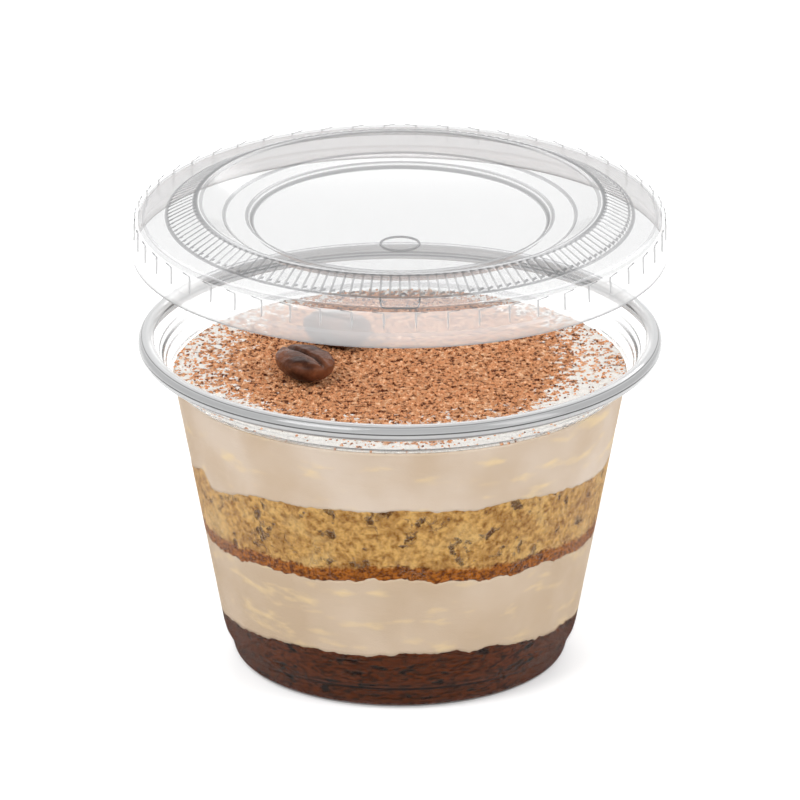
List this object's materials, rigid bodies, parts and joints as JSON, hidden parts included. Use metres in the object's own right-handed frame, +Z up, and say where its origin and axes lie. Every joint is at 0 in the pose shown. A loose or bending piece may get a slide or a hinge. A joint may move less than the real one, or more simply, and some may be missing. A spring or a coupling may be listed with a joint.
{
  "type": "lidded portion cup",
  "caption": "Clear thin-walled portion cup with a rolled rim and a fluted lift-off lid, filled with layers of sponge and cream under cocoa powder and coffee beans.",
  "frame": {"origin": "centre of the foot ring, on the surface the cup stands on", "axes": "+Z up along the cup's axis, -Y towards the front, +X to the right seen from the front"},
  "size_m": [0.0756, 0.0756, 0.068],
  "materials": {
    "cup_sheet": "clear formed sheet",
    "lid_sheet": "slightly hazy formed sheet",
    "chocolate_sponge": "moist crumb",
    "cream": "smooth cream",
    "vanilla_sponge": "open crumb with a browned underside",
    "cocoa": "dry powder",
    "bean": "roasted, with an oily shine"
  },
  "bodies": {
    "filled_cup": {"cup": "cup_sheet", "chocolate_sponge": "chocolate_sponge", "lower_cream": "cream", "vanilla_sponge": "vanilla_sponge", "upper_cream": "cream", "cocoa_dusting": "cocoa", "coffee_bean_rear": "bean", "coffee_bean_front": "bean"},
    "lid": {"lid": "lid_sheet"}
  },
  "joints": [
    {"name": "lid_lift", "type": "slide", "parent": "filled_cup", "child": "lid", "axis": [0, 0, 1], "range_m": [-0.0174, 0.01]}
  ]
}
